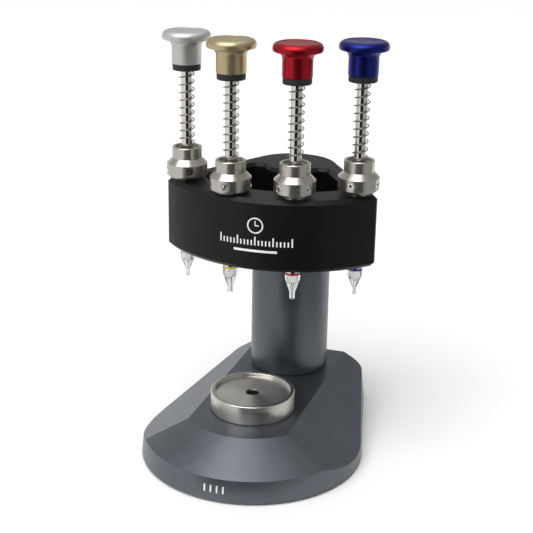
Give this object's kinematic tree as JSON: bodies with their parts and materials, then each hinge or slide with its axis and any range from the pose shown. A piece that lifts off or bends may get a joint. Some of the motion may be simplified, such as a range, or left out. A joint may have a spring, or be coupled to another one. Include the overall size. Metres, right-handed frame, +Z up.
{
  "type": "watch hand setting press",
  "caption": "Bench press for setting watch hands: sprung plungers in a turning head stand over a round anvil on a heavy faceted base.",
  "frame": {"origin": "on the column's axis, at the bench surface under the rubber feet", "axes": "+Z up along the column; -Y towards the operator, over the anvil; +X to the operator's right"},
  "size_m": [0.1057, 0.1325, 0.1953],
  "materials": {
    "slate_anodised": "slate grey anodised, fine blasted satin",
    "black_anodised": "black anodised, fine blasted matte",
    "turned_steel": "turned stainless steel",
    "ground_steel": "ground and polished",
    "spring_steel": "drawn wire",
    "black_steel": "blackened",
    "bronze_bush": "sintered bronze",
    "silver_anodised": "satin anodised",
    "gold_anodised": "satin anodised, champagne gold",
    "red_anodised": "satin anodised, red",
    "blue_anodised": "satin anodised, blue",
    "black_rubber": "moulded, matte",
    "foot_rubber": "moulded, matte",
    "clear_plastic": "clear moulded plastic",
    "white_ring": "moulded",
    "yellow_ring": "moulded",
    "red_ring": "moulded",
    "blue_ring": "moulded"
  },
  "bodies": {
    "stand": {"base_body": "slate_anodised", "rubber_feet": "foot_rubber", "column": "slate_anodised", "column_screw": "black_steel", "column_dowels": "ground_steel", "anvil": "turned_steel", "anvil_screw": "black_steel", "pivot_shaft": "ground_steel"},
    "head": {"head_body": "black_anodised", "lower_bush": "bronze_bush", "upper_bush": "bronze_bush", "thrust_washer": "bronze_bush", "index_ball": "ground_steel", "index_spring": "spring_steel", "index_plug": "black_steel", "stop_screw": "black_steel", "guide_sleeve_silver": "turned_steel", "collar_silver": "turned_steel", "collar_screws_silver": "ground_steel", "return_spring_silver": "spring_steel", "guide_sleeve_gold": "turned_steel", "collar_gold": "turned_steel", "collar_screws_gold": "ground_steel", "return_spring_gold": "spring_steel", "guide_sleeve_red": "turned_steel", "collar_red": "turned_steel", "collar_screws_red": "ground_steel", "return_spring_red": "spring_steel", "guide_sleeve_blue": "turned_steel", "collar_blue": "turned_steel", "collar_screws_blue": "ground_steel", "return_spring_blue": "spring_steel"},
    "plunger_silver": {"knob_silver": "silver_anodised", "buffer_ring_silver": "black_rubber", "spindle_silver": "ground_steel", "tip_holder_silver": "ground_steel", "colour_ring_silver": "white_ring", "tip_silver": "clear_plastic"},
    "plunger_gold": {"knob_gold": "gold_anodised", "buffer_ring_gold": "black_rubber", "spindle_gold": "ground_steel", "tip_holder_gold": "ground_steel", "colour_ring_gold": "yellow_ring", "tip_gold": "clear_plastic"},
    "plunger_red": {"knob_red": "red_anodised", "buffer_ring_red": "black_rubber", "spindle_red": "ground_steel", "tip_holder_red": "ground_steel", "colour_ring_red": "red_ring", "tip_red": "clear_plastic"},
    "plunger_blue": {"knob_blue": "blue_anodised", "buffer_ring_blue": "black_rubber", "spindle_blue": "ground_steel", "tip_holder_blue": "ground_steel", "colour_ring_blue": "blue_ring", "tip_blue": "clear_plastic"}
  },
  "joints": [
    {"name": "head_turn", "type": "hinge", "parent": "stand", "child": "head", "pos_m": [0, 0, 0.0939], "axis": [0, 0, 1], "range_deg": [-47.7, 42.3]},
    {"name": "press_silver", "type": "slide", "parent": "head", "child": "plunger_silver", "axis": [0, 0, -1], "range_m": [0, 0.035], "stiffness_N_per_m": 80, "springref_m": -0.01, "deforming": ["return_spring_silver"]},
    {"name": "press_gold", "type": "slide", "parent": "head", "child": "plunger_gold", "axis": [0, 0, -1], "range_m": [0, 0.0356], "stiffness_N_per_m": 80, "springref_m": -0.01, "deforming": ["return_spring_gold"]},
    {"name": "press_red", "type": "slide", "parent": "head", "child": "plunger_red", "axis": [0, 0, -1], "range_m": [0, 0.0344], "stiffness_N_per_m": 80, "springref_m": -0.01, "deforming": ["return_spring_red"]},
    {"name": "press_blue", "type": "slide", "parent": "head", "child": "plunger_blue", "axis": [0, 0, -1], "range_m": [0, 0.0345], "stiffness_N_per_m": 80, "springref_m": -0.01, "deforming": ["return_spring_blue"]}
  ]
}
